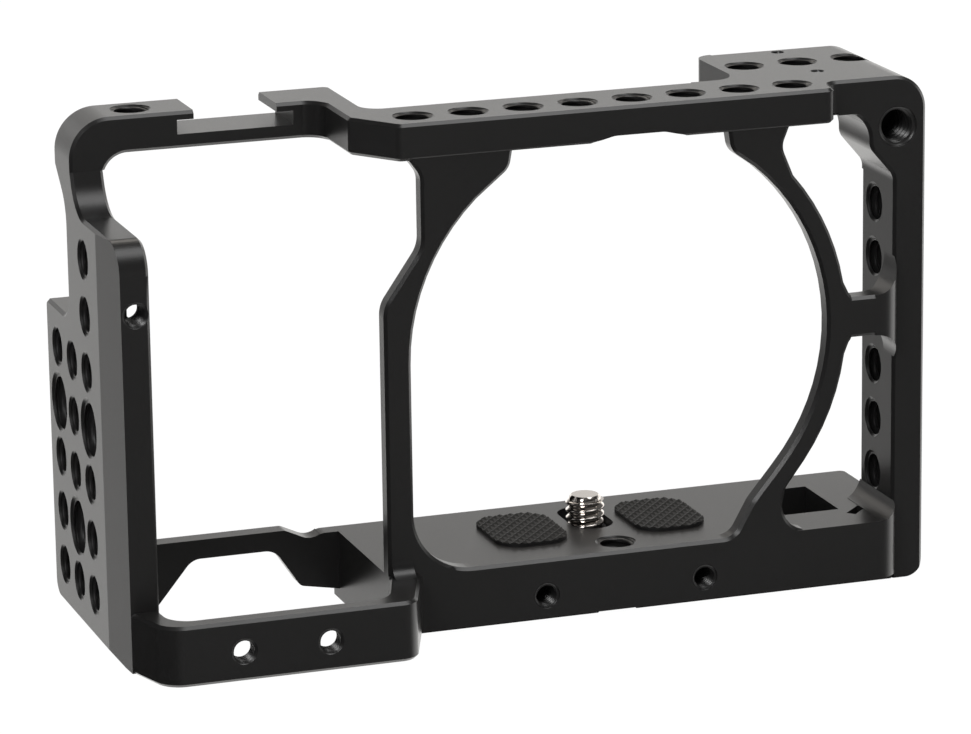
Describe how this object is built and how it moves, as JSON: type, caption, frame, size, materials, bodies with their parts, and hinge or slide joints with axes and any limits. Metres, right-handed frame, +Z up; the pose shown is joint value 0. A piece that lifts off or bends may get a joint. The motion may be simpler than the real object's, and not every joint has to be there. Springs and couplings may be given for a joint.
{
  "type": "camera cage",
  "caption": "Milled aluminium cage for a small mirrorless camera, with rows of threaded holes, a lens ring, a grip opening, an accessory shoe and a captive camera screw.",
  "frame": {"origin": "centre of the footprint of the whole cage, on the plane that its base stands on", "axes": "+X from the grip side to the side rail, as seen from the front of the camera with +X to the right; +Y from the lens side to the back of the camera; +Z up"},
  "size_m": [0.136, 0.0546, 0.0834],
  "materials": {
    "anodised": "fine bead-blasted black anodising",
    "pad_rubber": "matte, finely knurled",
    "washer_steel": "satin",
    "clip_steel": "dark oxide",
    "screw_steel": "bright nickel plating"
  },
  "bodies": {
    "frame": {"grip_side_plate": "anodised", "top_left_arm": "anodised", "accessory_shoe": "anodised", "jog_block": "anodised", "top_bar": "anodised", "top_right_block": "anodised", "rail_shoulder": "anodised", "side_rail": "anodised", "lens_ring_left": "anodised", "lens_ring_right": "anodised", "ring_bridge": "anodised", "base_plate": "anodised", "base_corner": "anodised", "grip_guard": "anodised", "rear_bar": "anodised", "left_pad": "pad_rubber", "right_pad": "pad_rubber"},
    "washer_body": {"screw_washer": "washer_steel"},
    "clip_body": {"retaining_clip": "clip_steel"},
    "screw_body": {"camera_screw": "screw_steel"}
  },
  "joints": [
    {"name": "screw_slide", "type": "slide", "parent": "frame", "child": "washer_body", "axis": [0, 1, 0], "range_m": [-0.003, 0.003]},
    {"name": "screw_lift", "type": "slide", "parent": "washer_body", "child": "clip_body", "axis": [0, 0, 1], "range_m": [-0.0032, 0.0012]},
    {"name": "screw_turn", "type": "hinge", "parent": "clip_body", "child": "screw_body", "pos_m": [0.01495, 0.0055, 0], "axis": [0, 0, 1], "continuous": true}
  ]
}
